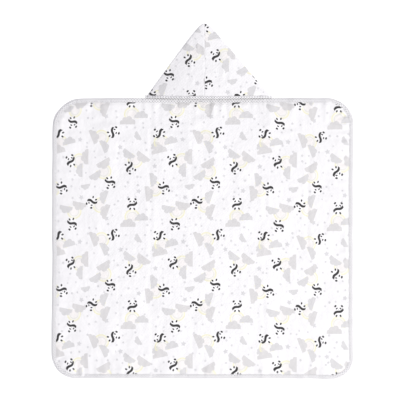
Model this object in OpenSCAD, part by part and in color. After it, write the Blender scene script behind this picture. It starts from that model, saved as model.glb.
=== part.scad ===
// Hooded baby towel, lying flat and face up with its hood spread out beyond the neck edge.
// Units are millimetres. X runs across the towel, +Y towards the tip of the hood and +Z up.
// The origin is the middle of the towel's outline, on the surface that it lies on.

/* [Towel body] */
// Width of the body from side to side
body_w = 900; // [700:2:1200]
// Length of the body from the foot edge to the neck edge
body_l = 838; // [700:1:1200]
// Radius of the body's four corners
corner_r = 78; // [30:2:150]

/* [Gauze] */
// Thickness of one printed double gauze where a tape presses it
gauze_t = 1.1; // [0.6:0.1:2]
// Thickness of the plain gauze between the two printed ones
core_t = 1.4; // [0.6:0.1:3]

/* [Check tape] */
// Width of the binding tape on each face of the body
binding_w = 13; // [8:1:20]
// Thickness of the tape
tape_t = 0.7; // [0.4:0.1:1]
// Distance from the tape's inner edge to its row of stitches
stitch_inset = 2; // [1:0.5:4]
// Thickness of a row of stitches
thread_t = 0.4; // [0.2:0.1:0.8]

/* [Hood] */
// Height of the hood from the neck edge to its tip
hood_h = 223; // [160:1:280]
// Width of the hood's left half at the neck
hood_left = 177; // [150:1:240]
// Width of the hood's right half at the neck
hood_right = 201; // [150:1:240]
// Distance of the hood's centre seam from the middle of the body
seam_x = 6; // [-20:1:20]
// Radius of the hood's rounded tip
tip_r = 12; // [8:1:24]
// Height that the middle of the mouth stands open
mouth_rise = 20; // [12:1:24]
// Distance that the middle of the mouth reaches over the neck edge
mouth_reach = 1.5; // [0:0.5:6]
// Width of the tape along the mouth
mouth_tape_w = 7; // [4:0.5:10]
// Width of the tape that covers the neck seam
neck_tape_w = 10; // [6:1:16]

/* [Hidden] */

PRINT_WHITE = [0.97, 0.965, 0.975];
PLAIN_WHITE = [0.99, 0.99, 0.985];
CHECK_GREY = [0.85, 0.85, 0.86];
THREAD_WHITE = [0.94, 0.94, 0.95];

// The towel body
neck_y = (body_l - hood_h) / 2;
body_y = neck_y - body_l / 2;
back_z = tape_t + gauze_t;
core_z = back_z + core_t;
face_z = core_z + gauze_t;
body_t = face_z + tape_t;
lip = 1;
corner_sides = 96;

// The hood: its two plies are a printed panel and a lining
neck_gap = 0.4;
mouth_gap = 1.3;
seam_w = 0.6;
side_inset = 2.4;
ply_t = 2 * gauze_t;
ply_gap = 0.1;
tip_cut = 4;
closed_share = 0.25;
reach_bend = 6;
tape_reach = 0.92;
columns = 8;
rows = 10;
outline_steps = 24;
stitch_lift = 0.1;
bartack_w = 3;
bartack_l = 9;
neck_tape_share = 0.94;

// Half the hood's width at a distance d below its tip, for a half that is base wide at the neck
function half_width(d, base) =
    sqrt((pow(base, 2) - 2 * tip_r * hood_h) * pow(d / hood_h, 2) + 2 * tip_r * d);

// Distances below the tip of the front's cross rows, the last two along the mouth tape
front_rows = concat(
    [for (j = [0 : rows]) tip_cut + (hood_h - mouth_tape_w - tip_cut) * j / rows],
    [hood_h]
);
// Places across a half, from the seam at 0 to the side at 1
front_columns = concat([for (i = [0 : columns]) tape_reach * i / columns], [1]);

// How far the front stands off the back, as a share of its rise
function puff(d, s) = d / hood_h * (1 - pow(s, 2));
// How far the front reaches over the neck edge, which only the open part of the mouth does
function open_part(s) = max(0, (1 - pow(s, 2) - closed_share) / (1 - closed_share));
function reach(d, s) = mouth_reach * pow(d / hood_h, reach_bend) * open_part(s);

// A point of the right half's front, at height level above the back
function front_point(d, s, level, base) = [
    seam_w / 2 + s * (half_width(d, base) - side_inset),
    hood_h - d + mouth_gap * d / hood_h - reach(d, s),
    level + mouth_rise * puff(d, s)
];

// A closed sheet between a grid of lower points and a grid of upper points
module sheet(low, high) {
    m = len(low);
    n = len(low[0]);
    size = m * n;
    points = concat([for (row = low) for (p = row) p], [for (row = high) for (p = row) p]);
    at = function(j, i) j * n + i;
    wall = function(a, b) [a, b, b + size, a + size];
    near = [for (j = [0 : m - 2]) for (i = [0 : n - 2]) [at(j, i), at(j, i + 1), at(j + 1, i + 1)]];
    far = [for (j = [0 : m - 2]) for (i = [0 : n - 2]) [at(j, i), at(j + 1, i + 1), at(j + 1, i)]];
    bottom = concat(near, far);
    top = [for (f = bottom) [f[2] + size, f[1] + size, f[0] + size]];
    first_row = [for (i = [0 : n - 2]) wall(at(0, i + 1), at(0, i))];
    last_row = [for (i = [0 : n - 2]) wall(at(m - 1, i), at(m - 1, i + 1))];
    first_column = [for (j = [0 : m - 2]) wall(at(j, 0), at(j + 1, 0))];
    last_column = [for (j = [0 : m - 2]) wall(at(j + 1, n - 1), at(j, n - 1))];
    polyhedron(points, concat(bottom, top, first_row, last_row, first_column, last_column), convexity = 4);
}

module rounded_outline(inset) {
    square([body_w - 2 * inset, body_l - 2 * corner_r], center = true);
    square([body_w - 2 * corner_r, body_l - 2 * inset], center = true);
    for (sx = [-1, 1], sy = [-1, 1])
        translate([sx * (body_w / 2 - corner_r), sy * (body_l / 2 - corner_r)])
            circle(r = corner_r - inset, $fn = corner_sides);
}

module body_slab(inset, low, high) {
    translate([0, body_y, low])
        linear_extrude(high - low) rounded_outline(inset);
}

module body_ring(outer, inner, low, high) {
    translate([0, body_y, low])
        linear_extrude(high - low)
            difference() {
                rounded_outline(outer);
                rounded_outline(inner);
            }
}

// The printed layers are full in the field and pressed thin under the tape
module body_face_gauze() {
    color(PRINT_WHITE)
        union() {
            body_slab(tape_t, core_z, face_z);
            body_slab(binding_w, face_z - lip, body_t);
        }
}

module body_core_gauze() {
    color(PLAIN_WHITE) body_slab(tape_t, back_z, core_z);
}

module body_back_gauze() {
    color(PRINT_WHITE)
        union() {
            body_slab(tape_t, tape_t, back_z);
            body_slab(binding_w, 0, tape_t + lip);
        }
}

// One tape folded round the whole edge, its two ends lapped
module body_binding() {
    color(CHECK_GREY)
        union() {
            body_ring(0, binding_w, 0, tape_t);
            body_ring(0, tape_t, 0, body_t);
            body_ring(0, binding_w, face_z, body_t);
        }
}

module body_binding_stitching() {
    row_inset = binding_w - stitch_inset;
    color(THREAD_WHITE) body_ring(row_inset - thread_t, row_inset, body_t, body_t + thread_t);
}

// Places its children in the hood, with the seam at x = 0 and the neck edge at y = 0
module in_hood(side) {
    translate([seam_x, neck_y, 0])
        mirror([side < 0 ? 1 : 0, 0, 0]) children();
}

module half_outline(base, inset, from) {
    side_points = [for (k = [0 : outline_steps])
        let (d = hood_h * pow(k / outline_steps, 2))
            [max(from, half_width(d, base) - inset), hood_h - d - inset * (1 - k / outline_steps)]];
    polygon(concat([[from, 0]], [[from, hood_h - inset]], side_points));
}

module hood_back_ply(side, base, low, high, from) {
    in_hood(side)
        translate([0, 0, low])
            linear_extrude(high - low)
                intersection() {
                    half_outline(base, seam_w, from);
                    translate([from, neck_gap]) square([2 * base, hood_h]);
                }
}

module hood_back_left() {
    color(PRINT_WHITE) hood_back_ply(-1, hood_left, 0, gauze_t, seam_w / 2);
}

module hood_back_right() {
    color(PRINT_WHITE) hood_back_ply(1, hood_right, 0, gauze_t, seam_w / 2);
}

module hood_back_lining() {
    color(PLAIN_WHITE)
        union() {
            hood_back_ply(-1, hood_left, gauze_t, ply_t, 0);
            hood_back_ply(1, hood_right, gauze_t, ply_t, 0);
        }
}

module hood_front_ply(side, base, low, high) {
    grid = function(level) [for (d = front_rows) [for (s = front_columns) front_point(d, s, level, base)]];
    in_hood(side) sheet(grid(low), grid(high));
}

module hood_front_left() {
    color(PRINT_WHITE) hood_front_ply(-1, hood_left, ply_t + gauze_t + ply_gap, 2 * ply_t);
}

module hood_front_right() {
    color(PRINT_WHITE) hood_front_ply(1, hood_right, ply_t + gauze_t + ply_gap, 2 * ply_t);
}

module hood_front_lining_left() {
    color(PLAIN_WHITE) hood_front_ply(-1, hood_left, ply_t, ply_t + gauze_t);
}

module hood_front_lining_right() {
    color(PLAIN_WHITE) hood_front_ply(1, hood_right, ply_t, ply_t + gauze_t);
}

// The stitches that join the two back panels, from the neck to the tip
module hood_back_seam() {
    color(THREAD_WHITE)
        translate([seam_x - seam_w / 2, neck_y + neck_gap, 0])
            cube([seam_w, hood_h - neck_gap - seam_w, gauze_t]);
}

// The stitches that join the two front panels and their linings, from the mouth to the tip
module hood_crown_seam() {
    grid = function(level)
        [for (d = front_rows) let (p = front_point(d, 0, level, hood_right))
            [[-seam_w / 2, p.y, p.z], [seam_w / 2, p.y, p.z]]];
    color(THREAD_WHITE) in_hood(1) sheet(grid(ply_t), grid(2 * ply_t));
}

// The stitched sides, where the front and the back meet
module hood_side_seams() {
    color(PRINT_WHITE)
        for (half = [[-1, hood_left], [1, hood_right]])
            in_hood(half[0])
                linear_extrude(2 * ply_t)
                    difference() {
                        intersection() {
                            half_outline(half[1], 0, 0);
                            translate([0, neck_gap]) square([2 * half[1], hood_h]);
                        }
                        half_outline(half[1], seam_w, 0);
                    }
}

// A folded tape round the mouth's edge: two legs and the wall between them
function mouth_section(side, s, base) =
    let (
        inner = hood_h - mouth_tape_w,
        low_edge = front_point(hood_h, s, ply_t, base),
        low_inner = front_point(inner, s, ply_t, base),
        lift = [0, 0, ply_t],
        tape = [0, 0, tape_t],
        fold = [0, tape_t, 0],
        at = function(p) [side * p.x, p.y, p.z]
    )
    [for (p = [
        low_inner - tape, low_edge - tape - fold, low_edge + lift + tape - fold, low_inner + lift + tape,
        low_inner + lift, low_edge + lift, low_edge, low_inner
    ]) at(p)];

module hood_mouth_binding() {
    stations = concat(
        [for (i = [columns : -1 : 0]) mouth_section(-1, front_columns[i], hood_left)],
        [for (i = [0 : columns]) mouth_section(1, front_columns[i], hood_right)]
    );
    n = len(stations[0]);
    last = len(stations) - 1;
    walls = [for (j = [0 : last - 1]) for (k = [0 : n - 1])
        let (next = (k + 1) % n) [j * n + k, j * n + next, (j + 1) * n + next, (j + 1) * n + k]];
    low_caps = [[0, 7, 6, 1], [6, 5, 2, 1], [5, 4, 3, 2]];
    high_caps = [for (f = low_caps) [for (k = [3 : -1 : 0]) f[k] + last * n]];
    points = [for (s = stations) for (p = s) p];
    color(CHECK_GREY) in_hood(1) polyhedron(points, concat(walls, low_caps, high_caps));
}

module hood_mouth_stitching() {
    stitch_d = hood_h - mouth_tape_w + stitch_inset;
    level = 2 * ply_t + tape_t + stitch_lift;
    for (half = [[-1, hood_left], [1, hood_right]]) {
        row = function(d, lift)
            [for (i = [0 : columns]) front_point(d, front_columns[i], level + lift, half[1])];
        grid = function(lift) [row(stitch_d, lift), row(stitch_d + thread_t, lift)];
        color(THREAD_WHITE) in_hood(half[0]) sheet(grid(0), grid(thread_t));
    }
}

// The tape that covers the raw edges of the neck seam, inside the hood
module hood_neck_tape() {
    left = neck_tape_share * half_width(hood_h - neck_tape_w, hood_left);
    right = neck_tape_share * half_width(hood_h - neck_tape_w, hood_right);
    color(CHECK_GREY)
        translate([seam_x - left, neck_y + neck_gap, ply_t])
            cube([left + right, neck_tape_w, tape_t]);
}

module hood_neck_stitching() {
    left = neck_tape_share * half_width(hood_h - neck_tape_w, hood_left) - stitch_inset;
    right = neck_tape_share * half_width(hood_h - neck_tape_w, hood_right) - stitch_inset;
    color(THREAD_WHITE)
        for (y = [stitch_inset, neck_tape_w - stitch_inset])
            translate([seam_x - left, neck_y + neck_gap + y - thread_t / 2, ply_t + tape_t])
                cube([left + right, thread_t, thread_t]);
}

// The dense stitches at the two ends of the mouth
module hood_corner_bartacks() {
    color(THREAD_WHITE)
        for (half = [[-1, hood_left], [1, hood_right]])
            in_hood(half[0])
                translate([half_width(hood_h, half[1]), neck_gap, 0])
                    cube([bartack_w, bartack_l, 2 * ply_t]);
}

body_face_gauze();
body_core_gauze();
body_back_gauze();
body_binding();
body_binding_stitching();
hood_back_left();
hood_back_right();
hood_back_lining();
hood_front_left();
hood_front_right();
hood_front_lining_left();
hood_front_lining_right();
hood_back_seam();
hood_crown_seam();
hood_side_seams();
hood_mouth_binding();
hood_mouth_stitching();
hood_neck_tape();
hood_neck_stitching();
hood_corner_bartacks();
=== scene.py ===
"""Looks of the hooded baby towel: its cloth, tapes, stitches and print, and the studio round it."""
import math

import bpy
import numpy as np
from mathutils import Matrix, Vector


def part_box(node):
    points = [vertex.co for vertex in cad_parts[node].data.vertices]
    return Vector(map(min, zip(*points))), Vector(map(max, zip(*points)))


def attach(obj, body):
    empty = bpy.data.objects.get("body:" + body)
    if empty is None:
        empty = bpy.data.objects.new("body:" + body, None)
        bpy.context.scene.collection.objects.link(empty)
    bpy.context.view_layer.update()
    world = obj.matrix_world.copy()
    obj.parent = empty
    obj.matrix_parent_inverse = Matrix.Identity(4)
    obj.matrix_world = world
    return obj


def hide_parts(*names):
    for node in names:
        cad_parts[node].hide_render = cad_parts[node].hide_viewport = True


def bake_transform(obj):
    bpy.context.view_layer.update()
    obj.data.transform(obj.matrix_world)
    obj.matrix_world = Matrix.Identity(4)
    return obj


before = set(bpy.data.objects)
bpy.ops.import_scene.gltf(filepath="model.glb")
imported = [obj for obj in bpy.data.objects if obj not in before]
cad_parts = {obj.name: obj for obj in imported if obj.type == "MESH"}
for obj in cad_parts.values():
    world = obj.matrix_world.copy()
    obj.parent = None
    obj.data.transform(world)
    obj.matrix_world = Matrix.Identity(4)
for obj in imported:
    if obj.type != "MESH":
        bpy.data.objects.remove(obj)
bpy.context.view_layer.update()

# Sizes are in metres. Those of the CAD parts are read from model.glb.
BODY_LOW, BODY_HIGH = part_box("body_binding")
HALF_W = (BODY_HIGH.x - BODY_LOW.x) / 2
HALF_L = (BODY_HIGH.y - BODY_LOW.y) / 2
BODY_Y = (BODY_HIGH.y + BODY_LOW.y) / 2
NECK_Y = BODY_HIGH.y
BODY_T = BODY_HIGH.z
CORE_LOW, CORE_HIGH = (corner.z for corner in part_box("body_core_gauze"))
CORNER_R = 0.078
SIDE_W, SIDE_L = HALF_W - CORNER_R, HALF_L - CORNER_R
EDGE_LENGTH = 4 * (SIDE_W + SIDE_L) + 2 * math.pi * CORNER_R

TAPE_T = 0.0006
TAPE_W = 0.013
STITCH_INSET = 0.011
PRESSED_T = 0.0037
LEAST_GAUZE = 0.0002
LAYER_INSET = 0.0035

SEAM_LOW, SEAM_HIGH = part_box("hood_back_seam")
SIDE_LOW, SIDE_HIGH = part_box("hood_side_seams")
SEAM_X = (SEAM_LOW.x + SEAM_HIGH.x) / 2
HOOD_H = SIDE_HIGH.y - NECK_Y
HOOD_BASE = {-1: SEAM_X - SIDE_LOW.x, 1: SIDE_HIGH.x - SEAM_X}
PLY = SEAM_HIGH.z
SIDE_T = SIDE_HIGH.z
MOUTH_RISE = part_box("hood_front_left")[1].z - SIDE_T
MOUTH_REACH = 0.003
MOUTH_CLOSED = 0.25
NECK_TAPE_W = 0.010
NECK_GAP = 0.0004
TIP_R = 0.012
ROLL = 0.022
# Shares of a hood panel's thickness: where its lower layer ends and its upper one starts
LOWER_END, UPPER_START = 0.48, 0.52

UV = "cloth"
PRINT_REPEAT = (312.5, 305.0, 1.0)


# Shapes

LATTICE = 64


def smoothstep(low, high, x):
    t = np.clip((x - low) / (high - low), 0, 1)
    return t * t * (3 - 2 * t)


def soft_noise(x, y, size, seed):
    """Smooth bumps of about unit height, about size apart."""
    lattice = np.random.default_rng(seed).uniform(-1, 1, (LATTICE, LATTICE))
    gx, gy = np.asarray(x) / size, np.asarray(y) / size
    ix, iy = np.floor(gx).astype(int), np.floor(gy).astype(int)
    fx, fy = smoothstep(0, 1, gx - ix), smoothstep(0, 1, gy - iy)

    def at(dx, dy):
        return lattice[(ix + dx) % LATTICE, (iy + dy) % LATTICE]

    low = at(0, 0) * (1 - fx) + at(1, 0) * fx
    high = at(0, 1) * (1 - fx) + at(1, 1) * fx
    return 1.6 * (low * (1 - fy) + high * fy)


def ring_noise(s, length, spacing, seed, waves=16):
    """Ripples about spacing apart along a closed edge of that length."""
    rng = np.random.default_rng(seed)
    turns = rng.integers(int(0.65 * length / spacing), int(1.45 * length / spacing) + 1, waves)
    phase = rng.uniform(0, 2 * math.pi, waves)
    angle = 2 * math.pi * np.multiply.outer(np.asarray(s) / length, turns) + phase
    return np.sin(angle).sum(axis=-1) * math.sqrt(2 / waves)


def edge_walk(s, inset=0.0):
    """Points s along the towel's rounded edge, anticlockwise, and their outward normals."""
    s = np.mod(s, EDGE_LENGTH)
    arc = CORNER_R * math.pi / 2
    x, y, nx, ny = (np.zeros_like(s) for _ in range(4))
    start = 0.0
    for turn in range(4):
        out = np.array([math.cos(turn * math.pi / 2), math.sin(turn * math.pi / 2)])
        ahead = np.array([-out[1], out[0]])
        half = abs(ahead @ [SIDE_W, SIDE_L])
        reach = abs(out @ [SIDE_W, SIDE_L]) + CORNER_R
        on_side = (s >= start) & (s < start + 2 * half)
        along = s[on_side] - start - half
        x[on_side], y[on_side] = (np.outer(along, ahead) + out * (reach - inset)).T
        nx[on_side], ny[on_side] = out
        start += 2 * half
        on_arc = (s >= start) & (s <= start + arc)
        angle = turn * math.pi / 2 + (s[on_arc] - start) / CORNER_R
        centre = out * (reach - CORNER_R) + ahead * half
        x[on_arc] = centre[0] + (CORNER_R - inset) * np.cos(angle)
        y[on_arc] = centre[1] + (CORNER_R - inset) * np.sin(angle)
        nx[on_arc], ny[on_arc] = np.cos(angle), np.sin(angle)
        start += arc
    return x, y + BODY_Y, nx, ny


def edge_place(x, y):
    """How far inside the towel's edge each point is, and how far along the edge."""
    y = y - BODY_Y
    qx, qy = np.abs(x) - SIDE_W, np.abs(y) - SIDE_L
    in_corner = (qx > 0) & (qy > 0)
    near_x = qx > qy
    inside = np.where(in_corner, CORNER_R - np.hypot(qx, qy), CORNER_R - np.maximum(qx, qy))
    arc = CORNER_R * math.pi / 2
    right, top = 0.0, 2 * SIDE_L + arc
    left, foot = top + 2 * SIDE_W + arc, top + 2 * SIDE_W + arc + 2 * SIDE_L + arc
    on_side = np.where(
        near_x,
        np.where(x > 0, right + SIDE_L + y, left + SIDE_L - y),
        np.where(y > 0, top + SIDE_W - x, foot + SIDE_W + x),
    )
    angle = np.mod(np.arctan2(np.sign(y) * qy, np.sign(x) * qx), 2 * math.pi)
    quarter = np.floor(angle / (math.pi / 2))
    before = np.choose(quarter.astype(int) % 4, [top - arc, left - arc, foot - arc, foot + 2 * SIDE_W])
    on_arc = before + CORNER_R * (angle - quarter * math.pi / 2)
    return inside, np.where(in_corner, on_arc, on_side)


# Long packing creases: their place as a share of the half width or half length, and their depth
CREASES_ALONG = ((-0.55, 0.5), (-0.34, 0.8), (-0.07, 0.5), (0.41, 0.6), (0.70, 0.9))
CREASES_ACROSS = ((0.77, 0.7), (0.38, 0.8), (-0.28, 0.6))
# Short creases: the two ends and the middle of each, in metres, and its depth
SHORT_CREASES = (
    ((0.245, 0.080), (0.262, 0.052), (0.336, 0.047), 1.2),
    ((0.314, -0.045), (0.316, -0.075), (0.315, -0.100), 1.0),
    ((0.183, -0.130), (0.184, -0.155), (0.183, -0.180), 0.8),
    ((-0.300, 0.235), (-0.262, 0.222), (-0.215, 0.228), 0.8),
    ((0.345, 0.296), (0.372, 0.288), (0.400, 0.270), 1.4),
    ((-0.395, -0.425), (-0.352, -0.452), (-0.310, -0.462), 1.2),
    ((0.080, 0.292), (0.118, 0.286), (0.150, 0.290), 0.9),
    ((-0.165, 0.288), (-0.150, 0.262), (-0.152, 0.225), 0.8),
)
CREASE_W = 0.0035
# The same on the hood: two at the ends of its mouth and two that rise from it
HOOD_CREASES = (
    ((-0.160, 0.310), (-0.145, 0.316), (-0.125, 0.318), -2.2),
    ((0.150, 0.311), (0.172, 0.317), (0.186, 0.316), -1.8),
    ((-0.030, 0.330), (-0.034, 0.352), (-0.028, 0.378), 1.2),
    ((0.060, 0.336), (0.078, 0.356), (0.084, 0.384), 1.0),
)


# Corners of the towel that aren't laid out true: the place of each and how far it has slipped
SLIPPED_CORNERS = (
    ((-HALF_W + 0.023, NECK_Y - 0.023), (0.0050, -0.0050)),
    ((HALF_W - 0.023, NECK_Y - 2 * HALF_L + 0.023), (0.0050, -0.0050)),
    ((-HALF_W + 0.023, NECK_Y - 2 * HALF_L + 0.023), (-0.0015, -0.0015)),
)
SLIP_R = 0.055


def near_hood(x, y):
    """1 along the towel's neck edge where the hood is sewn on, and 0 away from it."""
    reach = max(HOOD_BASE.values())
    beside = 1 - smoothstep(reach - 0.01, reach + 0.03, np.abs(x - SEAM_X))
    return beside * smoothstep(NECK_Y - 0.060, NECK_Y - 0.015, y)


def laid(x, y):
    """Where a point of the flat towel lies, since no towel is laid out quite true."""
    away = 1 - near_hood(x, y)
    move_x = 0.0011 * soft_noise(x, y, 0.20, 14) + 0.0004 * soft_noise(x, y, 0.05, 15)
    move_y = 0.0008 * soft_noise(x, y, 0.20, 16) + 0.0004 * soft_noise(x, y, 0.05, 17)
    for (corner_x, corner_y), (slip_x, slip_y) in SLIPPED_CORNERS:
        share = np.exp(-((x - corner_x) ** 2 + (y - corner_y) ** 2) / SLIP_R ** 2)
        move_x += slip_x * share
        move_y += slip_y * share
    return x + move_x * away, y + move_y * away


# How far the print is drawn in at the left and right sides, and how far it drops at the right
DRAWN_LEFT, DRAWN_RIGHT, PRINT_DROP = 0.0075, 0.0085, 0.014


def printed_at(x, y):
    """The place in the print of a point of the cloth, since washed gauze is never quite true to it."""
    print_x = x - DRAWN_LEFT * smoothstep(-0.31, -0.42, x) + DRAWN_RIGHT * smoothstep(0.26, 0.38, x)
    return print_x, y + PRINT_DROP * smoothstep(0.12, 0.36, x)


def towel_lift(x, y):
    """How far the whole towel stands off the surface under it."""
    inside, s = edge_place(x, y)
    swell = soft_noise(x, y, 0.19, 1) + 0.5 * soft_noise(x, y, 0.085, 2) - 0.25
    lift = 0.0011 * (swell + np.sqrt(swell * swell + 0.08))
    flutter = ring_noise(s, EDGE_LENGTH, 0.075, 3)
    flutter = 0.0006 * (flutter + np.sqrt(flutter * flutter + 0.1))
    return (lift + flutter * np.exp(-inside / 0.05)) * (1 - near_hood(x, y))


def towel_relief(x, y):
    """How far the towel's face stands off its even thickness."""
    inside, s = edge_place(x, y)
    relief = 0.0002 * soft_noise(x, y, 0.015, 4) + 0.0011 * soft_noise(x, y, 0.040, 5)
    relief += 0.0014 * soft_noise(x * 0.45, y, 0.022, 6) * smoothstep(0.2, 0.9, soft_noise(x, y, 0.12, 7))
    for share, depth in CREASES_ALONG:
        wander = 0.003 * soft_noise(y, 0 * y + share, 0.13, 8)
        fade = smoothstep(-0.35, 0.6, soft_noise(y, 0 * y + share, 0.10, 9))
        relief -= 0.0014 * depth * fade * crease(x - share * HALF_W - wander)
    for share, depth in CREASES_ACROSS:
        wander = 0.003 * soft_noise(x, 0 * x + share, 0.13, 10)
        fade = smoothstep(-0.35, 0.6, soft_noise(x, 0 * x + share, 0.10, 11))
        relief -= 0.0014 * depth * fade * crease(y - BODY_Y - share * HALF_L - wander)
    for start, middle, end, depth in SHORT_CREASES:
        relief += 0.0008 * depth * short_crease(x, y, start, middle, end)
    pucker = 0.0006 * ring_noise(s, EDGE_LENGTH, 0.0125, 12) * np.exp(-((inside - STITCH_INSET) / 0.012) ** 2)
    pull = 0.0007 * ring_noise(s, EDGE_LENGTH, 0.033, 13) * np.exp(-np.abs(inside - 0.02) / 0.022)
    return relief + pucker + pull * (1 + 1.2 * corner_share(x, y))


def crease(distance):
    """A sharp fold line with a soft swell along both of its sides."""
    d = np.abs(distance) / CREASE_W
    return np.exp(-d) - 0.45 * np.exp(-((d - 3.2) / 1.8) ** 2)


def short_crease(x, y, start, middle, end):
    """A ridge along two straight stretches that fades out at both ends."""
    start, middle, end = (np.array(point) for point in (start, middle, end))
    nearest, place = np.full(np.shape(x), 1e9), np.zeros(np.shape(x))
    for number, (a, b) in enumerate(((start, middle), (middle, end))):
        step = b - a
        t = np.clip(((x - a[0]) * step[0] + (y - a[1]) * step[1]) / (step @ step), 0, 1)
        away = np.hypot(x - a[0] - t * step[0], y - a[1] - t * step[1])
        place = np.where(away < nearest, (number + t) / 2, place)
        nearest = np.minimum(nearest, away)
    return np.sin(math.pi * np.clip(place, 0, 1)) ** 0.7 * crease(nearest)


def corner_share(x, y):
    """1 in the towel's rounded corners and 0 away from them."""
    qx, qy = np.abs(x) - SIDE_W, np.abs(y - BODY_Y) - SIDE_L
    return smoothstep(-0.05, 0.02, np.minimum(qx, qy))


def towel_top(x, y):
    """Thickness of the towel without its relief: full in the field and pressed flat under the tape."""
    inside, _ = edge_place(x, y)
    fullness = smoothstep(TAPE_W - 0.001, TAPE_W + 0.009, inside)
    fall = 1 - np.clip(inside / 0.006, 0, 1)
    at_rim = CORE_HIGH + LEAST_GAUZE
    pressed = at_rim + (PRESSED_T - at_rim) * (1 - fall * fall)
    return pressed + (BODY_T + 0.0008 - PRESSED_T) * fullness


def under_tape(x, y):
    """The share of the relief that the tape's stitches leave: half of it under the tape."""
    inside, _ = edge_place(x, y)
    return 0.5 + 0.5 * smoothstep(TAPE_W, TAPE_W + 0.012, inside)


def half_width(d, base):
    """Half the hood's width at a distance d below its tip."""
    slope = (base ** 2 - 2 * TIP_R * HOOD_H) / HOOD_H ** 2
    return np.sqrt(slope * d ** 2 + 2 * TIP_R * d)


def mouth_reach(d, s):
    """How far the front reaches over the towel's neck edge, most in the middle of the mouth."""
    open_share = np.maximum(0, (1 - s ** 2 - MOUTH_CLOSED) / (1 - MOUTH_CLOSED))
    return MOUTH_REACH * (d / HOOD_H) ** 6 * open_share


def hood_plan(side, d, s):
    """Where a point of the hood lies seen from above: d below the tip, a share s from seam to side."""
    x = SEAM_X + side * (0.00015 + s * (half_width(d, HOOD_BASE[side]) - 0.0003))
    return x, NECK_Y + HOOD_H - d + NECK_GAP * d / HOOD_H


def hood_puff(d, s):
    """How far the front stands off the back, most in the middle of the mouth."""
    return MOUTH_RISE * d / HOOD_H * (1 - s ** 2)


def hood_relief(side, d, s):
    """Wrinkles of the hood's front: soft folds, the pull of the seams and a few creases below the tip."""
    x, y = hood_plan(side, d, s)
    across = x - SEAM_X
    relief = 0.0009 * soft_noise(x, y * 0.6, 0.036, 21) + 0.0002 * soft_noise(x, y, 0.015, 22)
    for place, start, end in ((-0.040, 0.092, 0.150), (-0.020, 0.046, 0.108), (0.052, 0.120, 0.185)):
        wander = 0.003 * soft_noise(y, 0 * y + place, 0.05, 23)
        fade = smoothstep(start, start + 0.02, d) * (1 - smoothstep(end - 0.02, end, d))
        relief += 0.0011 * fade * crease(across - place - wander)
    seam_pucker = 0.0005 * soft_noise(y, 0 * y + side, 0.008, 24) * np.exp(-np.abs(across) / 0.010)
    edge_away = (1 - s) * half_width(d, HOOD_BASE[side])
    side_pucker = 0.0006 * soft_noise(y, 0 * y + side, 0.011, 25) * np.exp(-edge_away / 0.012)
    mouth_pucker = 0.0007 * soft_noise(x, 0 * x, 0.012, 26) * np.exp(-(HOOD_H - d) / 0.014)
    for start, middle, end, depth in HOOD_CREASES:
        relief += 0.0009 * depth * short_crease(x, y, start, middle, end)
    valley = -0.0005 * np.exp(-(across / 0.0022) ** 2)
    calm = smoothstep(0, 0.012, d) * smoothstep(0, 0.006, edge_away)
    return (relief + seam_pucker + side_pucker + mouth_pucker) * calm + valley


def edge_round(side, d, s):
    """1 in the field of a hood panel, falling to 0 along its side in a quarter circle."""
    away = np.minimum((1 - s) * half_width(d, HOOD_BASE[side]), d)
    return np.sqrt(np.clip(1 - (1 - np.clip(away / 0.0055, 0, 1)) ** 2, 0, 1))


# Meshes

def new_piece(name, points, faces, material, uv=None):
    """A smooth-shaded mesh object. uv is each point's place on the flat cloth, in metres."""
    mesh = bpy.data.meshes.new(name)
    mesh.from_pydata(points.reshape(-1, 3).tolist(), [], faces.tolist())
    mesh.polygons.foreach_set("use_smooth", [True] * len(mesh.polygons))
    if uv is not None:
        corners = np.empty(len(mesh.loops), int)
        mesh.loops.foreach_get("vertex_index", corners)
        layer = mesh.uv_layers.new(name=UV)
        layer.data.foreach_set("uv", uv.reshape(-1, 2)[corners].astype(np.float32).ravel())
    mesh.materials.append(material)
    piece = bpy.data.objects.new(name, mesh)
    bpy.context.scene.collection.objects.link(piece)
    return piece


def grid_faces(rows, columns):
    j, i = np.mgrid[0:rows - 1, 0:columns - 1]
    first = (j * columns + i).ravel()
    return np.stack([first, first + 1, first + columns + 1, first + columns], axis=1)


def closed_sheet(name, top, bottom, uv, material, flip=False):
    """A closed sheet between two grids of points, with row 0 at the foot and columns to the right."""
    rows, columns = top.shape[:2]
    size = rows * columns
    field = grid_faces(rows, columns)
    number = np.arange(size).reshape(rows, columns)
    rim = np.concatenate([number[0, :-1], number[:-1, -1], number[-1, :0:-1], number[:0:-1, 0]])
    after = np.roll(rim, -1)
    wall = np.stack([rim + size, after + size, after, rim], axis=1)
    faces = np.concatenate([field, field[:, ::-1] + size, wall])
    if flip:
        faces = faces[:, ::-1]
    return new_piece(name, np.concatenate([top.reshape(-1, 3), bottom.reshape(-1, 3)]), faces, material,
                     np.concatenate([uv.reshape(-1, 2)] * 2))


def swept_tape(name, sections, uv, material, closed):
    """A tube through sections of points. A closed one joins its last section to its first."""
    count, around = sections.shape[:2]
    number = np.arange(count * around).reshape(count, around)
    here, there = (number, np.roll(number, -1, axis=0)) if closed else (number[:-1], number[1:])
    beside_here, beside_there = np.roll(here, -1, axis=1), np.roll(there, -1, axis=1)
    faces = np.stack([here, beside_here, beside_there, there], axis=-1).reshape(-1, 4)
    if not closed:
        half = around // 2
        pairs = np.arange(half - 1)
        cap = np.stack([pairs, around - 1 - pairs, around - 2 - pairs, pairs + 1], axis=1)
        faces = np.concatenate([faces, cap, cap[:, ::-1] + (count - 1) * around])
    return new_piece(name, sections, faces, material, uv)


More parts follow.
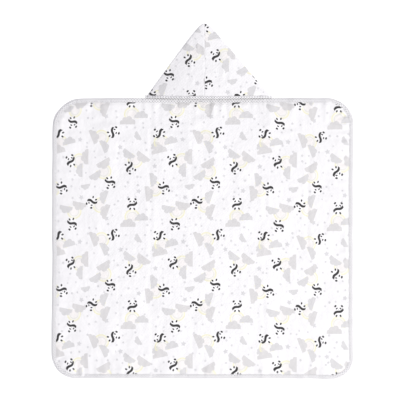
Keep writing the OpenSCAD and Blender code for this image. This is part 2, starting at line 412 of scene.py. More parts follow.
def stitch_row(name, centres, along, up, length, width, material):
    """Separate short stitches, each a rounded bar that dips into the cloth at its ends."""
    side = np.cross(up, along)
    rings = ((-0.5, 0.35, -0.5), (-0.32, 0.95, 0.0), (0.32, 0.95, 0.0), (0.5, 0.35, -0.5))
    corners = ((1, 0), (0, 1), (-1, 0), (0, -1))
    points = [
        centres + along * length * place + side * (width / 2 * swell * a)
        + up * (width / 2 * (0.8 * swell * b + dip))
        for place, swell, dip in rings for a, b in corners
    ]
    points = np.stack(points, axis=1)
    walls = [[r * 4 + k, r * 4 + (k + 1) % 4, r * 4 + 4 + (k + 1) % 4, r * 4 + 4 + k]
             for r in range(3) for k in range(4)]
    one = np.array(walls + [[3, 2, 1, 0], [12, 13, 14, 15]])
    faces = (one[None] + 16 * np.arange(len(centres))[:, None, None]).reshape(-1, 4)
    return new_piece(name, points, faces, material)


def unit(v):
    return v / np.linalg.norm(v, axis=-1, keepdims=True)


def stitches_along(name, path, up, pitch, material, length_share=0.82, width=0.0006):
    """Stitches at an even pitch along a path of points, whose upward directions are up."""
    step = np.linalg.norm(np.diff(path, axis=0), axis=1)
    at = np.concatenate([[0], np.cumsum(step)])
    middles = np.arange(pitch / 2, at[-1], pitch)

    def sample(values, where):
        return np.stack([np.interp(where, at, values[:, k]) for k in range(3)], axis=1)

    ahead = unit(sample(path, middles + pitch * 0.3) - sample(path, middles - pitch * 0.3))
    above = sample(up, middles)
    above = unit(above - ahead * (above * ahead).sum(axis=1, keepdims=True))
    return stitch_row(name, sample(path, middles), ahead, above, pitch * length_share, width, material)


# Materials

class Number:
    """A number worked out by shader nodes, written as ordinary arithmetic."""

    def __init__(self, tree, socket):
        self.tree = tree
        self.socket = socket

    def math(self, operation, *others):
        node = self.tree.nodes.new("ShaderNodeMath")
        node.operation = operation
        for socket, value in zip(node.inputs, (self, *others)):
            if isinstance(value, Number):
                self.tree.links.new(value.socket, socket)
            else:
                socket.default_value = value
        return Number(self.tree, node.outputs[0])

    def __add__(self, other):
        return self.math("ADD", other)

    def __sub__(self, other):
        return self.math("SUBTRACT", other)

    def __mul__(self, other):
        return self.math("MULTIPLY", other)

    def __neg__(self):
        return self * -1.0

    def low(self, other):
        return self.math("MINIMUM", other)

    def high(self, other):
        return self.math("MAXIMUM", other)

    def size(self):
        return self.math("ABSOLUTE")

    def below(self, edge):
        return self.math("LESS_THAN", edge)

    def wrap(self, high, low):
        return self.math("WRAP", high, low)


def hypot(a, b):
    return (a * a + b * b).math("SQRT")


def turned(p, q, angle):
    """The point (p, q) in axes that are turned by angle."""
    c, s = angle.math("COSINE"), angle.math("SINE")
    return p * c + q * s, q * c - p * s


def ink(distance, soft=0.35):
    """1 where a signed distance in millimetres is inside a shape, with a soft edge."""
    share = distance * (-0.5 / soft) + 0.5
    return share.high(0.0).low(1.0)


class Tree:
    """Short ways to make the nodes of one material."""

    def __init__(self, name):
        self.material = bpy.data.materials.new(name)
        self.material.use_nodes = True
        self.nodes = self.material.node_tree.nodes
        self.links = self.material.node_tree.links
        self.shader = self.nodes["Principled BSDF"]

    def number(self, socket):
        return Number(self.material.node_tree, socket)

    def vector(self, operation, *values):
        node = self.nodes.new("ShaderNodeVectorMath")
        node.operation = operation
        for socket, value in zip(node.inputs, values):
            if isinstance(value, bpy.types.NodeSocket):
                self.links.new(value, socket)
            else:
                socket.default_value = value
        return node.outputs[0 if operation != "LENGTH" else 1]

    def split(self, socket):
        node = self.nodes.new("ShaderNodeSeparateXYZ")
        self.links.new(socket, node.inputs[0])
        return tuple(self.number(output) for output in node.outputs)

    def place(self):
        """Where a point is on the flat cloth, in millimetres."""
        node = self.nodes.new("ShaderNodeUVMap")
        node.uv_map = UV
        return self.vector("MULTIPLY", node.outputs[0], (1000, 1000, 0))

    def mix(self, kind, share, low, high):
        node = self.nodes.new("ShaderNodeMix")
        node.data_type = kind
        factor, a, b, result = {"RGBA": (0, 6, 7, 2), "VECTOR": (0, 4, 5, 1)}[kind]
        for index, value in ((factor, share), (a, low), (b, high)):
            if isinstance(value, Number):
                value = value.socket
            if isinstance(value, bpy.types.NodeSocket):
                self.links.new(value, node.inputs[index])
            else:
                node.inputs[index].default_value = value
        return node.outputs[result]

    def paint(self, under, colour, share):
        return self.mix("RGBA", share, under, (*colour, 1))

    def noise(self, place, spacing, detail=2.0, roughness=0.5):
        """Noise from 0 to 1 with features about spacing millimetres apart."""
        node = self.nodes.new("ShaderNodeTexNoise")
        node.noise_dimensions = "2D"
        self.links.new(place, node.inputs["Vector"])
        node.inputs["Scale"].default_value = 1 / spacing
        node.inputs["Detail"].default_value = detail
        node.inputs["Roughness"].default_value = roughness
        return self.number(node.outputs[0])

    def bump(self, height_mm):
        """Bends the surface's shading by a height in millimetres."""
        node = self.nodes.new("ShaderNodeBump")
        node.inputs["Strength"].default_value = 1.0
        node.inputs["Distance"].default_value = 0.001
        self.links.new(height_mm.socket, node.inputs["Height"])
        self.links.new(node.outputs[0], self.shader.inputs["Normal"])

    def finish(self, colour, roughness=0.92, sheen=0.12):
        self.links.new(colour, self.shader.inputs["Base Color"])
        self.shader.inputs["Roughness"].default_value = roughness
        self.shader.inputs["Specular IOR Level"].default_value = 0.15
        self.shader.inputs["Sheen Weight"].default_value = sheen
        self.shader.inputs["Sheen Roughness"].default_value = 0.5
        return self.material


CLOTH = (0.800, 0.797, 0.808)
BRIGHT = (0.840, 0.840, 0.845)
CLOUD_COOL = (0.612, 0.610, 0.616)
CLOUD_WARM = (0.620, 0.612, 0.612)
STAR = (0.590, 0.590, 0.605)
YELLOW = (0.780, 0.760, 0.530)
BEIGE = (0.660, 0.648, 0.585)
PEACH = (0.810, 0.760, 0.720)
BLACK = (0.010, 0.009, 0.010)
OUTLINE = (0.580, 0.575, 0.580)

# One repeat of the print, in millimetres and degrees: the place and turn of each arch, and the lean
# of the bear above it. A bear that leans far sits on the arch, and its clouds change sides.
PRINT_START = (-157, 287, 0)
MOTIFS = (
    (80, -13, 169, 18), (35, -112, 13, 70), (96, -167, 90, -70), (259, -29, 0, 0), (167, -97, -67, 0),
    (269, -166, 143, 70), (14, -250, 276, -70), (163, -299, 70, 70), (174, -199, 210, -20),
)
LONE_CLOUDS = ((276, -95, 2.1), (118, -244, 3.3), (15, -120, 0.6))
STARS = (
    (98, -103, 0.2), (182, -34, 0.7), (15, -183, 0.4), (103, -276, 0.9), (278, -257, 1.3), (224, -126, 0.5),
)
BEAR_ABOVE = {False: 38.0, True: 27.0}
CLOUD_R = 21
BEAR_R = 21
ARCH_R = 37
DOT_SPACING = 29


def leans_far(lean):
    return abs(lean) > 45


def bear_spots():
    """The place and turn of each bear, above its arch."""
    spots = []
    for x, y, turn, lean in MOTIFS:
        angle, above = math.radians(turn), BEAR_ABOVE[leans_far(lean)]
        spots.append((x - math.sin(angle) * above, y + math.cos(angle) * above, math.radians(turn + lean)))
    return spots


def arch_spots(mirrored):
    return [(x, y, math.radians(turn)) for x, y, turn, lean in MOTIFS if (lean < -45) == mirrored]


def nearest_spot(tree, place, spots):
    """The offset from the nearest of the repeating spots with its turn as z, and the distance to it."""
    half = tuple(side / 2 for side in PRINT_REPEAT)
    best, best_distance = None, None
    for x, y, turn in spots:
        moved = tree.vector("SUBTRACT", place, (x, y, 0))
        offset = tree.vector("WRAP", moved, half, tuple(-side for side in half))
        distance = tree.number(tree.vector("LENGTH", offset))
        marked = tree.vector("ADD", offset, (0, 0, turn))
        if best is None:
            best, best_distance = marked, distance
            continue
        best = tree.mix("VECTOR", distance.math("LESS_THAN", best_distance), best, marked)
        best_distance = best_distance.low(distance)
    return best, best_distance


# Heaps of a cloud: the place and radius of each, in millimetres
HEAPS = ((-14.5, -4.5, 6.0), (-6.5, 2.5, 7.5), (4.5, 4.5, 8.5), (14.0, -3.0, 7.5))
CLOUD_BASE = -10.0


def cloud(p, q, x=0.0, y=0.0, scale=1.0):
    """A flat-bottomed cloud of round heaps."""
    p, q = p - x, q - y
    top = None
    for heap_x, heap_y, radius in HEAPS:
        heap = hypot(p - heap_x * scale, (q - heap_y * scale).high(0.0)) - radius * scale
        top = heap if top is None else top.low(heap)
    return top.high(-q + CLOUD_BASE * scale)


def star(p, q, radius):
    """A plump five-pointed star."""
    fifth = 2 * math.pi / 5
    angle = q.math("ARCTAN2", p).wrap(fifth / 2, -fifth / 2).size()
    reach = hypot(p, q)
    x, y = reach * angle.math("COSINE"), reach * angle.math("SINE")
    valley = 0.55
    vx, vy = valley * math.cos(fifth / 2), valley * math.sin(fifth / 2)
    length = math.hypot(vy, 1 - vx)
    return (x - radius) * (vy / length) + y * ((1 - vx) / length)


def draw_bear(tree, colour, spot):
    """A small plain bear: white head and body, black ears, eyes, arms and feet."""
    u, v, turn = tree.split(spot)
    u, v = turned(u, v, turn)
    head = hypot(u, (v - 7.5) * 1.08) - 11.2
    body = hypot(u * 1.04, v + 6.5) - 11.2
    white = head.low(body)
    colour = tree.paint(colour, BRIGHT, ink(white - 1.0))
    colour = tree.paint(colour, OUTLINE, ink(white.size() - 0.30) * 0.4)
    ear_u, ear_v = u.size() - 9.8, v - 15.0
    ears = hypot(ear_u + ear_v * 0.3, ear_v) - 3.3
    eye_u, eye_v = u.size() - 5.7, v - 8.0
    eyes = hypot((eye_u + eye_v * 0.5) * 1.1, eye_v) - 2.8
    nose = hypot(u, (v - 4.6) * 1.4) - 1.0
    t = u * (1 / 14.0)
    wave = t * t * (t * (turn * 3.0).math("COSINE").math("SIGN") * 8.0 + (turn * 5.0).math("SINE") * 3.0)
    hands = hypot(u, (v + 1.6) * 0.9) - 16.0
    arms = ((v + 1.6 - wave).size() * 0.85 - t * t * 1.8 - 2.9).high(hands)
    foot_u = u.size() - 6.0
    feet = hypot(foot_u * 1.15, v + 13.8 + foot_u * 0.4) - 3.3
    black = ears.low(eyes).low(nose).low(arms).low(feet)
    return tree.paint(colour, BLACK, ink(black, 0.4))


def draw_arch(tree, colour, spot, side):
    """A pale arch that joins two clouds. side is 1, or -1 for its mirror image."""
    p, q, turn = tree.split(spot)
    p, q = turned(p, q, turn)
    p = p * side
    reach = hypot(p, q)
    under = -q - 12.0
    colour = tree.paint(colour, PEACH, ink((reach - 11.5).high(under), 3.0) * 0.45)
    colour = tree.paint(colour, BEIGE, ink(((reach - 14.0).size() - 1.0).high(under), 0.6) * 0.75)
    colour = tree.paint(colour, YELLOW, ink(((reach - 17.0).size() - 1.4).high(under), 1.2) * 0.35)
    colour = tree.paint(colour, YELLOW, ink(((reach - 21.0).size() - 2.0).high(under), 0.6) * 0.9)
    colour = tree.paint(colour, CLOUD_WARM, ink(cloud(p, q, -13.0, -19.0, 1.08)))
    return tree.paint(colour, CLOUD_COOL, ink(cloud(p, q, 27.0, -1.0, 0.96)))


def draw_scatter(tree, colour, place, spots, spare):
    """Small stars of mixed size in the gaps between the motifs."""
    cells = tree.nodes.new("ShaderNodeTexVoronoi")
    cells.voronoi_dimensions = "2D"
    tree.links.new(place, cells.inputs["Vector"])
    cells.inputs["Scale"].default_value = 1 / DOT_SPACING
    cells.inputs["Randomness"].default_value = 0.8
    offset = tree.vector("SUBTRACT", place, cells.outputs["Position"])
    p, q, _ = tree.split(offset)
    chance, turn, tone = tree.split(cells.outputs["Color"])
    free = spare.math("GREATER_THAN", CLOUD_R)
    for spot, room in spots:
        away = tree.vector("MULTIPLY", tree.vector("SUBTRACT", spot, offset), (1, 1, 0))
        free = free * tree.number(tree.vector("LENGTH", away)).math("GREATER_THAN", room)
    p, q = turned(p, q, turn * 6.28)
    mark = ink(star(p, q, chance * 1.6 + 3.0) - 0.3, 0.5) * free
    return tree.paint(colour, STAR, mark * (tone * 0.3 + 0.7))


def draw_print(tree, colour, place):
    """Bears and arches with clouds, turned all ways, and stars between them."""
    place = tree.vector("SUBTRACT", place, PRINT_START)
    bear, _ = nearest_spot(tree, place, bear_spots())
    plain, _ = nearest_spot(tree, place, arch_spots(False))
    mirrored, _ = nearest_spot(tree, place, arch_spots(True))
    lone, lone_distance = nearest_spot(tree, place, LONE_CLOUDS)
    large, large_distance = nearest_spot(tree, place, STARS)
    spare = lone_distance.low(large_distance + 8.0)
    colour = draw_scatter(tree, colour, place, ((plain, ARCH_R), (mirrored, ARCH_R), (bear, BEAR_R)), spare)
    p, q, turn = tree.split(large)
    p, q = turned(p, q, turn)
    colour = tree.paint(colour, STAR, ink(star(p, q, 7.6) - 0.4, 0.5) * 0.9)
    p, q, turn = tree.split(lone)
    p, q = turned(p, q, turn)
    colour = tree.paint(colour, CLOUD_COOL, ink(cloud(p, q, scale=0.7)))
    colour = draw_arch(tree, colour, plain, 1)
    colour = draw_arch(tree, colour, mirrored, -1)
    return draw_bear(tree, colour, bear)


def gauze_height(tree, place):
    """The puffs between the tie points of the gauze, its crinkle and its threads, in millimetres."""
    warp = tree.noise(place, 14, 2) * 5.0
    x, y, _ = tree.split(place)
    x, y = x + warp, y - warp * 0.8
    puffs = (x * (2 * math.pi / 9.5)).math("COSINE") * (y * (2 * math.pi / 9.5)).math("COSINE")
    crinkle = tree.noise(place, 14.0, 3, 0.5)
    threads = (x * (2 * math.pi / 1.15)).math("COSINE") + (y * (2 * math.pi / 1.15)).math("COSINE")
    return puffs * 0.10 + crinkle * 1.5 + threads * 0.03


def gauze(name, printed):
    """Crinkled white cotton gauze, plain or with the print."""
    tree = Tree(name)
    place = tree.place()
    shade = tree.noise(place, 90, 2)
    colour = tree.mix("RGBA", shade, (*CLOTH, 1), (0.806, 0.804, 0.808, 1))
    if printed:
        colour = draw_print(tree, colour, place)
    worn = tree.noise(place, 1.6, 1) * 0.10
    colour = tree.paint(colour, (0.80, 0.80, 0.80), worn)
    tree.bump(gauze_height(tree, place))
    return tree.finish(colour)


CHECK_SIDE = 2.9
CHECK_GREY = (0.150, 0.150, 0.156)
# Colour of the painted shadow along the tape's sewn inner edge
SEWN_EDGE_SHADE = (0.45, 0.45, 0.46)


def check_tape(name):
    """Fine grey and white check, set on the diagonal of the tape, with a painted shadow along its sewn edge.
    """
    tree = Tree(name)
    place = tree.place()
    x, y, _ = tree.split(place)
    pitch = 2 * CHECK_SIDE * math.sqrt(2)
    rising = (x + y).wrap(pitch, 0.0).below(pitch / 2)
    falling = (x - y).wrap(pitch, 0.0).below(pitch / 2)
    colour = tree.paint((*CLOTH, 1), CHECK_GREY, (rising + falling) * 0.11 + rising * falling * 0.42)
    # Painted shade: a grey band along the tape's sewn inner edge stands in for the shadow in the groove
    # beside it
    colour = tree.paint(colour, SEWN_EDGE_SHADE, ink(y - 1.0, 0.9) * 0.35)
    weave = ((x + y) * 6.0).math("SINE") * ((x - y) * 6.0).math("SINE")
    tree.bump(weave * 0.03 + tree.noise(place, 4.0, 2) * 0.5)
    return tree.finish(colour)


def thread_material(name):
    """White sewing thread with a little sheen."""
    tree = Tree(name)
    coordinates = tree.nodes.new("ShaderNodeTexCoord")
    place = tree.vector("MULTIPLY", coordinates.outputs["Object"], (1000, 1000, 1000))
    fibre = tree.noise(place, 0.8, 2)
    colour = tree.paint((0.70, 0.70, 0.72, 1), (0.80, 0.80, 0.81), fibre)
    return tree.finish(colour, roughness=0.6, sheen=0.05)


PRINTED = gauze("printed_gauze_look", True)
PLAIN = gauze("plain_gauze_look", False)
CHECK = check_tape("check_tape_look")
THREAD = thread_material("sewing_thread_look")


# The towel body

def body_grid(step, inset):
    """Rows of points over the towel, their ends on its rounded outline."""
    rows = int(2 * HALF_L / step)
    columns = int(2 * HALF_W / step)
    v = np.linspace(-1, 1, rows)
    y = (HALF_L - inset) * (0.92 * v + 0.08 * np.sin(v * math.pi / 2))
    past = np.clip(np.abs(y) - SIDE_L, 0, None)
    r = CORNER_R - inset
    half = SIDE_W + np.sqrt(np.clip(r * r - past * past, 0, None))
    u = np.linspace(-1, 1, columns)
    x = half[:, None] * u[None]
    return x, np.repeat(y[:, None], columns, axis=1) + BODY_Y


def body_layer(name, node, low, high, step, material):
    """One layer of the towel between two heights, each a function of the place on the towel."""
    x, y = body_grid(step, LAYER_INSET)
    lying_x, lying_y = laid(x, y)
    top = np.stack([lying_x, lying_y, high(x, y)], axis=-1)
    bottom = np.stack([lying_x, lying_y, low(x, y)], axis=-1)
    piece = closed_sheet(name, top, bottom, np.stack(printed_at(x, y), axis=-1), material)
    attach(piece, "towel")
    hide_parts(node)
    return piece


def face_top(x, y):
    """The towel's upper side, which never dips into the core."""
    top = towel_lift(x, y) + towel_top(x, y) + towel_relief(x, y) * under_tape(x, y)
    return np.maximum(top, core_top(x, y) + LEAST_GAUZE)


def core_top(x, y):
    return towel_lift(x, y) + CORE_HIGH


def core_bottom(x, y):
    return towel_lift(x, y) + CORE_LOW


def back_bottom(x, y):
    """The towel's underside, which lies on the tape near the edge."""
    inside, _ = edge_place(x, y)
    return towel_lift(x, y) + TAPE_T * (1 - smoothstep(0.011, 0.02, inside))


def make_body():
    back = body_layer("body_back_gauze_cloth", "body_back_gauze", back_bottom, core_bottom, 0.008, PRINTED)
    core = body_layer("body_core_gauze_cloth", "body_core_gauze", core_bottom, core_top, 0.008, PLAIN)
    face = body_layer("body_face_gauze_cloth", "body_face_gauze", core_top, face_top, 0.004, PRINTED)
    return face, core


# The tape's outside in section, in millimetres: distance inside the towel's edge, and height
TAPE_PROFILE = (
    (13.0, 4.30), (12.7, 4.65), (11.0, 4.45), (9.0, 4.80), (6.0, 4.95), (3.6, 4.55), (1.7, 3.75),
    (0.5, 2.75), (0.0, 1.8), (0.3, 1.0), (1.3, 0.4), (3.2, 0.1), (7.0, 0.0), (11.0, 0.02), (13.0, 0.05),
)
TAPE_MIDDLE = (0.0075, 0.0022)


def make_binding(face, core):
    """The tape folded round the towel's edge, drawn in a little by its stitches."""
    stations = int(EDGE_LENGTH / 0.0036)
    s = np.arange(stations) * EDGE_LENGTH / stations
    outer = np.array(TAPE_PROFILE) / 1000
    inner = outer + unit(TAPE_MIDDLE - outer) * TAPE_T
    inner[:, 0] = np.minimum(inner[:, 0], outer[:, 0])
    profile = np.concatenate([outer, inner[::-1]])
    length = np.concatenate([[0], np.cumsum(np.linalg.norm(np.diff(outer, axis=0), axis=1))])
    across = np.concatenate([length, length[::-1]])
    x0, y0, nx, ny = edge_walk(s)
    corner = corner_share(x0, y0)
    ripple = ring_noise(s, EDGE_LENGTH, 0.0105, 31) * (0.00016 + 0.00012 * corner)
    waver = ring_noise(s, EDGE_LENGTH, 0.028, 32) * 0.00035
    depth = profile[None, :, 0]
    inset = depth + waver[:, None] * smoothstep(0.004, 0.013, depth) - 0.0004 * corner[:, None]
    x, y = x0[:, None] - nx[:, None] * inset, y0[:, None] - ny[:, None] * inset
    upper = smoothstep(0.0024, 0.0044, profile[None, :, 1])
    z = towel_lift(x, y) + profile[None, :, 1] + upper * (ripple[:, None] + 0.5 * towel_relief(x, y))
    uv = np.stack(np.broadcast_arrays(s[:, None], across[None]), axis=-1)
    lying_x, lying_y = laid(x, y)
    tape = swept_tape("body_binding_tape", np.stack([lying_x, lying_y, z], axis=-1), uv, CHECK, closed=True)
    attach(tape, "towel")
    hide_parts("body_binding")
    path_x, path_y, _, _ = edge_walk(s, STITCH_INSET)
    path_z = towel_lift(path_x, path_y) + 0.00455 + ripple + 0.5 * towel_relief(path_x, path_y)
    path = np.stack([*laid(path_x, path_y), path_z], axis=1)
    path = np.concatenate([path, path[:1]])
    up = np.tile([0.0, 0.0, 1.0], (len(path), 1))
    stitches = stitches_along("body_binding_stitches", path, up, 0.0034, THREAD)
    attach(stitches, "towel")
    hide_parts("body_binding_stitching")


# The hood

def bend_with_fold(piece):
    """Bakes a hood piece's placement into its mesh points."""
    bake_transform(piece)


def hood_rows():
    """Distances below the tip, close together near the tip and where the cloth rolls at the neck."""
    upper = (HOOD_H - ROLL) * np.linspace(0.0, 1, 64) ** 1.35
    upper[0] = 0.0002
    return np.concatenate([upper, HOOD_H - ROLL + ROLL * np.linspace(0, 1, 24)[1:]])[::-1]


def hood_columns():
    """Shares of the way from the seam to the side, close together at both ends."""
    u = np.linspace(0, 1, 56)
    return 0.5 - 0.5 * np.cos(math.pi * u) * (0.9 + 0.1 * np.abs(np.cos(math.pi * u)))


def hood_sheet(name, node, side, height, top, bottom, material, uv_shift, mouth):
    """One hood layer between two levels of the front or the back, reaching over the neck at a mouth."""
    d, s = np.meshgrid(hood_rows(), hood_columns(), indexing="ij")
    x, y = hood_plan(side, d, s)
    if mouth:
        y = y - mouth_reach(d, s)
    high = np.stack([x, y, height(side, d, s, top)], axis=-1)
    low = np.stack([x, y, height(side, d, s, bottom)], axis=-1)
    uv = np.stack([x + uv_shift[0], y + uv_shift[1]], axis=-1)
    piece = closed_sheet(name, high, low, uv, material, flip=side < 0)
    bend_with_fold(piece)
    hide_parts(node)
    return piece


def front_height(side, d, s, level):
    """Height of the front at a level from 0, its lining's underside, to 1, its printed face."""
    middle = SIDE_T / 2
    return middle + hood_puff(d, s) + (2 * PLY + hood_relief(side, d, s)) * level * edge_round(side, d, s)


def back_height(side, d, s, level):
    """Height of the back at a level from 0, its printed face under it, to 1, its lining's upper side."""
    x, y = hood_plan(side, d, s)
    swell = soft_noise(x, y, 0.07, 41)
    swell = 0.0004 * (swell + np.sqrt(swell * swell + 0.1)) * smoothstep(0.004, 0.03, HOOD_H - d)
    valley = 0.0012 * np.exp(-((x - SEAM_X) / 0.0022) ** 2)
    middle = SIDE_T / 2
    under = (middle - swell - valley) * edge_round(side, d, s)
    return middle - under * (1 - level)


def hood_area(side):
    """The flat area of one half of the hood."""
    d = np.linspace(0, HOOD_H, 400)
    return float(half_width(d, HOOD_BASE[side]).mean() * HOOD_H)


def make_hood_panels():
    """The front, its lining and the back of each half. Each half is cut from another place in the print."""
    for side, word, shift in ((-1, "left", (0.137, -0.016)), (1, "right", (0.184, -0.008))):
        front = hood_sheet(
            f"hood_front_{word}_cloth", f"hood_front_{word}", side,
            front_height, 1, UPPER_START, PRINTED, shift, mouth=True)
        lining = hood_sheet(
            f"hood_front_lining_{word}_cloth", f"hood_front_lining_{word}", side,
            front_height, LOWER_END, 0, PLAIN, shift, mouth=True)
        back = hood_sheet(
            f"hood_back_{word}_cloth", f"hood_back_{word}", side,
            back_height, LOWER_END, 0, PRINTED, shift[::-1], mouth=False)
        for piece, below in ((back, "floor"), (lining, back), (front, lining)):
            hood_area(side)


def make_back_lining():
    """The lining of the back, one piece across the seam."""
    d, u = np.meshgrid(hood_rows(), np.concatenate([-hood_columns()[:0:-1], hood_columns()]), indexing="ij")
    x, y, low, high = (np.zeros_like(d) for _ in range(4))
    for side in (-1, 1):
        mine = np.where(u < 0, -1, 1) == side
        x[mine], y[mine] = hood_plan(side, d[mine], np.abs(u[mine]))
        low[mine] = back_height(side, d[mine], np.abs(u[mine]), UPPER_START)
        high[mine] = back_height(side, d[mine], np.abs(u[mine]), 1)
    piece = closed_sheet("hood_back_lining_cloth", np.stack([x, y, high], axis=-1),
                         np.stack([x, y, low], axis=-1), np.stack([x, y], axis=-1), PLAIN)
    bend_with_fold(piece)
    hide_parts("hood_back_lining")
    hood_area(-1) + hood_area(1)


def seam_cord(name, node, path, radius, material):
    """A thin round line of stitches and turned cloth along a path."""
    ahead = unit(np.gradient(path, axis=0))
    side = unit(np.cross(ahead, [0.0, 0.0, 1.0]))
    up = np.cross(side, ahead)
    angles = np.linspace(0, 2 * math.pi, 8, endpoint=False)
    from_start = np.clip(np.linspace(0, 30, len(path)), 0, 1)
    taper = np.sqrt(from_start * from_start[::-1])
    sections = path[:, None] + radius * np.clip(taper, 0.15, 1)[:, None, None] * (
        np.cos(angles)[None, :, None] * side[:, None] + np.sin(angles)[None, :, None] * up[:, None])
    along = np.concatenate([[0], np.cumsum(np.linalg.norm(np.diff(path, axis=0), axis=1))])
    uv = np.stack(np.broadcast_arrays(along[:, None], (angles * radius)[None]), axis=-1)
    piece = swept_tape(name, sections, uv, material, closed=False)
    bend_with_fold(piece)
    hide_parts(node)
    return piece


def make_hood_seams():
    """The stitched lines down the middle of the front and the back, and round the two sides."""
    d = hood_rows()
    zero = np.zeros_like(d)
    x, y = hood_plan(1, d, zero)
    crown = np.stack([0 * x + SEAM_X, y - mouth_reach(d, zero), front_height(1, d, zero, 1) - 0.0002], axis=1)
    seam_cord("hood_crown_seam_line", "hood_crown_seam", crown[6:-2], 0.0004, THREAD)
    back = np.stack([0 * x + SEAM_X, y, back_height(1, d, zero, 0) + 0.0003], axis=1)
    seam_cord("hood_back_seam_line", "hood_back_seam", back[6:-2], 0.0004, THREAD)
    sides = []
    for side in (-1, 1):
        x, y = hood_plan(side, d, zero + 1)
        sides.append(np.stack([x, y, zero + SIDE_T / 2], axis=1))
    outline = np.concatenate([sides[0], sides[1][-2::-1]])
    seam_cord("hood_side_seams_line", "hood_side_seams", outline, 0.0007, PLAIN)


# The mouth tape in section, from its upper edge round the mouth to its lower edge. Each point has its
# depth inside the mouth's edge and its height off the cloth, in millimetres, and its level on the cloth.
MOUTH_PROFILE = (
    (7.0, 0.15, 1.0), (6.6, 0.65, 1.0), (5.0, 0.7, 1.0), (2.5, 0.75, 1.0), (0.9, 0.7, 0.95),
    (0.0, 0.45, 0.75), (-0.45, 0.0, 0.5), (0.0, -0.45, 0.25),
    (0.9, -0.6, 0.05), (2.5, -0.6, 0.0), (5.0, -0.6, 0.0), (7.0, -0.55, 0.0),
)
MOUTH_TAPE_SHARE = 0.97
# How far the inside of the tape's fold lies behind its outside, and the inside's share of the height
FOLD_T, INNER_SHARE = 0.0004, 0.35


def mouth_line(u, depth, level, wavers):
    """Points across the mouth at one place of the tape's section. u is -1 to 1 from end to end."""
    s = np.abs(u)
    x, y, z = (np.zeros_like(s) for _ in range(3))
    d = np.full_like(s, HOOD_H - max(depth, 0))
    for side in (-1, 1):
        mine = np.where(u < 0, -1, 1) == side
        x[mine], y[mine] = hood_plan(side, d[mine], s[mine])
        y[mine] -= mouth_reach(d[mine], s[mine])
        z[mine] = front_height(side, d[mine], s[mine], level)
    y += min(depth, 0)
    if wavers:
        y += 0.00025 * soft_noise(x, 0 * x, 0.019, 52)
    if level > 0.5:
        z += 0.0003 * soft_noise(x, 0 * x, 0.007, 51)
    return np.stack([x, y, z], axis=1)


def mouth_tape_sections():
    u = np.linspace(-MOUTH_TAPE_SHARE, MOUTH_TAPE_SHARE, 150)
    outside, inside = [], []
    for number, (depth, proud, level) in enumerate(MOUTH_PROFILE):
        line = mouth_line(u, depth / 1000, level, wavers=number < 3)
        behind = FOLD_T if 0.1 < level < 0.9 else 0.0
        outside.append(line + [0, 0, proud / 1000])
        inside.append(line + [0, behind, INNER_SHARE * proud / 1000])
    return np.stack(outside + inside[::-1], axis=1)


def make_mouth_binding():
    """The check tape folded round the mouth's edge, and its stitches."""
    sections = mouth_tape_sections()
    run = np.concatenate([[0], np.cumsum(np.linalg.norm(np.diff(sections[:, 5], axis=0), axis=1))])
    depth, _, level = np.array(MOUTH_PROFILE).T
    across = np.concatenate([[0], np.cumsum(np.hypot(np.diff(depth) / 1000, np.diff(level) * 2 * PLY))])
    across = np.concatenate([across, across[::-1]])
    uv = np.stack(np.broadcast_arrays(run[:, None], across[None]), axis=-1)
    tape = swept_tape("hood_mouth_binding_tape", sections, uv, CHECK, closed=False)
    bend_with_fold(tape)
    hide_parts("hood_mouth_binding")
    path = sections[:, 2] + [0, 0, 0.0002]
    up = np.tile([0.0, 0.0, 1.0], (len(path), 1))
    row = stitches_along("hood_mouth_stitches", path, up, 0.0031, THREAD)
    bend_with_fold(row)
    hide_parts("hood_mouth_stitching")


def make_neck_tape():
    """The tape over the neck seam inside the hood, with a row of stitches along each edge."""
    low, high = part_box("hood_neck_tape")
    x, v = np.meshgrid(np.linspace(low.x, high.x, 180), np.linspace(0, 1, 9))
    y = low.y + NECK_TAPE_W * v + 0.0002 * soft_noise(x, v * 0, 0.02, 61)
    base = SIDE_T / 2 + 0.0001
    swell = 0.0005 + 0.0004 * np.sin(math.pi * v) + 0.0002 * soft_noise(x, y, 0.008, 62)
    tape = closed_sheet("hood_neck_tape_strip", np.stack([x, y, base + swell], axis=-1),
                        np.stack([x, y, base + 0 * x], axis=-1), np.stack([x, y], axis=-1), CHECK)
    bend_with_fold(tape)
    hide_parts("hood_neck_tape")
    line = np.linspace(low.x + 0.002, high.x - 0.002, 300)
    up = np.tile([0.0, 0.0, 1.0], (len(line), 1))
    for number, share in ((1, 0.2), (2, 0.8)):
        path = np.stack([line, low.y + NECK_TAPE_W * share + 0 * line, base + 0.0009 + 0 * line], axis=1)
        row = stitches_along(f"hood_neck_stitches_{number}", path, up, 0.0031, THREAD)
        bend_with_fold(row)
        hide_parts("hood_neck_stitching")


def make_bartacks():
    """Dense zigzag stitches across each end of the mouth."""
    centres, ahead = [], []
    for side in (-1, 1):
        corner_x = SEAM_X + side * HOOD_BASE[side]
        for k in range(14):
            y = NECK_Y + NECK_GAP + 0.0006 + 0.0006 * k
            slant = 0.35 if k % 2 else -0.35
            centres.append((corner_x - side * 0.0015, y, SIDE_T + 0.0003))
            ahead.append((1.0, slant, -0.25 * side))
    piece = stitch_row("hood_corner_bartack_stitches", np.array(centres), unit(np.array(ahead)),
                       np.tile([0.0, 0.0, 1.0], (len(centres), 1)), 0.005, 0.0007, THREAD)
    bend_with_fold(piece)
    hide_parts("hood_corner_bartacks")


# The studio

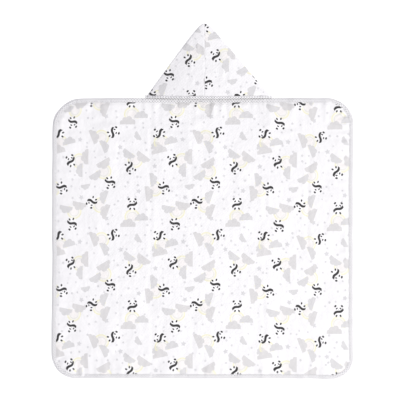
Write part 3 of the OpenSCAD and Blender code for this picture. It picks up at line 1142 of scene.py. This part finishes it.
def make_floor():
    """A pale floor, just far enough below the towel not to share its plane."""
    size, drop = 12.0, 0.0004
    corners = np.array([(-size, -size, 0), (size, -size, 0), (size, size, 0), (-size, size, 0)], float)
    tree = Tree("studio_floor")
    tree.shader.inputs["Base Color"].default_value = (0.6, 0.6, 0.6, 1)
    tree.shader.inputs["Roughness"].default_value = 1.0
    tree.shader.inputs["Specular IOR Level"].default_value = 0.0
    tree.shader.inputs["Emission Color"].default_value = (1, 1, 1, 1)
    tree.shader.inputs["Emission Strength"].default_value = 0.55
    floor = new_piece("floor", corners - [0, 0, drop], np.array([[0, 1, 2, 3]]), tree.material)


def place_light(name, lamp, place):
    """Puts a lamp at a place, turned towards the middle of the towel."""
    light = bpy.data.objects.new(name, lamp)
    light.location = place
    light.rotation_euler = light.location.to_track_quat("Z", "Y").to_euler()
    bpy.context.scene.collection.objects.link(light)


def make_lights():
    key = bpy.data.lights.new("key_light", "SUN")
    key.energy = 1.9
    key.angle = math.radians(25)
    key.color = (1.0, 0.99, 0.975)
    place_light("key_light", key, (1.7, -0.6, 2.3))
    fill = bpy.data.lights.new("fill_light", "AREA")
    fill.shape = "SQUARE"
    fill.size = 0.8
    fill.energy = 8.5
    fill.color = (1.0, 0.98, 0.93)
    place_light("fill_light", fill, (0.75, -0.6, 1.7))


def make_world():
    """An even white room, whose walls the camera sees at full white."""
    world = bpy.data.worlds.new("studio")
    world.use_nodes = True
    nodes, links = world.node_tree.nodes, world.node_tree.links
    seen = nodes["Background"]
    seen.inputs["Color"].default_value = (1, 1, 1, 1)
    seen.inputs["Strength"].default_value = 1.1
    room = nodes.new("ShaderNodeBackground")
    room.inputs["Color"].default_value = (0.945, 0.93, 1.0, 1)
    room.inputs["Strength"].default_value = 0.61
    path = nodes.new("ShaderNodeLightPath")
    mix = nodes.new("ShaderNodeMixShader")
    links.new(path.outputs["Is Camera Ray"], mix.inputs[0])
    links.new(room.outputs[0], mix.inputs[1])
    links.new(seen.outputs[0], mix.inputs[2])
    links.new(mix.outputs[0], nodes["World Output"].inputs["Surface"])
    bpy.context.scene.world = world
    bpy.context.scene.view_settings.view_transform = "Standard"


def make_studio():
    make_floor()
    make_lights()
    make_world()


def make_camera():
    """Straight above the towel, with its neck edge at the top of the picture."""
    distance = 4.0
    framed = 1.196
    camera = bpy.data.cameras.new("camera")
    camera.sensor_width = 36.0
    camera.lens = camera.sensor_width * distance / framed
    holder = bpy.data.objects.new("camera", camera)
    holder.location = (-0.0080, 0.0034, distance)
    bpy.context.scene.collection.objects.link(holder)
    bpy.context.scene.camera = holder


make_camera()
make_studio()
face, core = make_body()
make_binding(face, core)
make_hood_panels()
make_back_lining()
make_hood_seams()
make_mouth_binding()
make_neck_tape()
make_bartacks()
